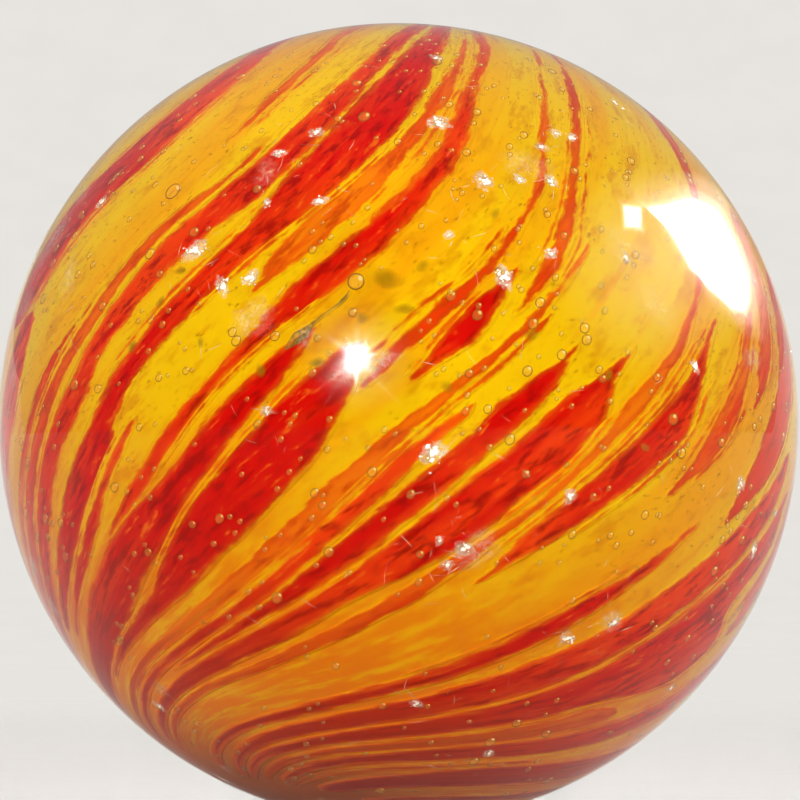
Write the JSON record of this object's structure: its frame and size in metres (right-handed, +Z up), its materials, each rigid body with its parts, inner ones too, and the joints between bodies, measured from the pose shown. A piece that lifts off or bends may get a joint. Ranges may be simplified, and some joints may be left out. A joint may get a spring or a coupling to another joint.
{
  "type": "glass marble",
  "caption": "Handmade glass marble, 20 mm across: yellow core wound with red and orange ribbons that twist from pole to pole, under clear glass with air seeds and nicks.",
  "frame": {"origin": "centre of the ball", "axes": "+Z up, -Y towards the side that the picture shows, +X to the right as seen from the front"},
  "size_m": [0.02, 0.02, 0.02],
  "materials": {
    "clear_glass": "polished",
    "yellow_glass": "polished",
    "red_glass": "polished",
    "orange_glass": "polished"
  },
  "bodies": {
    "root": {"clear_casing": "clear_glass", "yellow_core": "yellow_glass", "red_ribbons": "red_glass", "orange_ribbons": "orange_glass"}
  },
  "joints": []
}
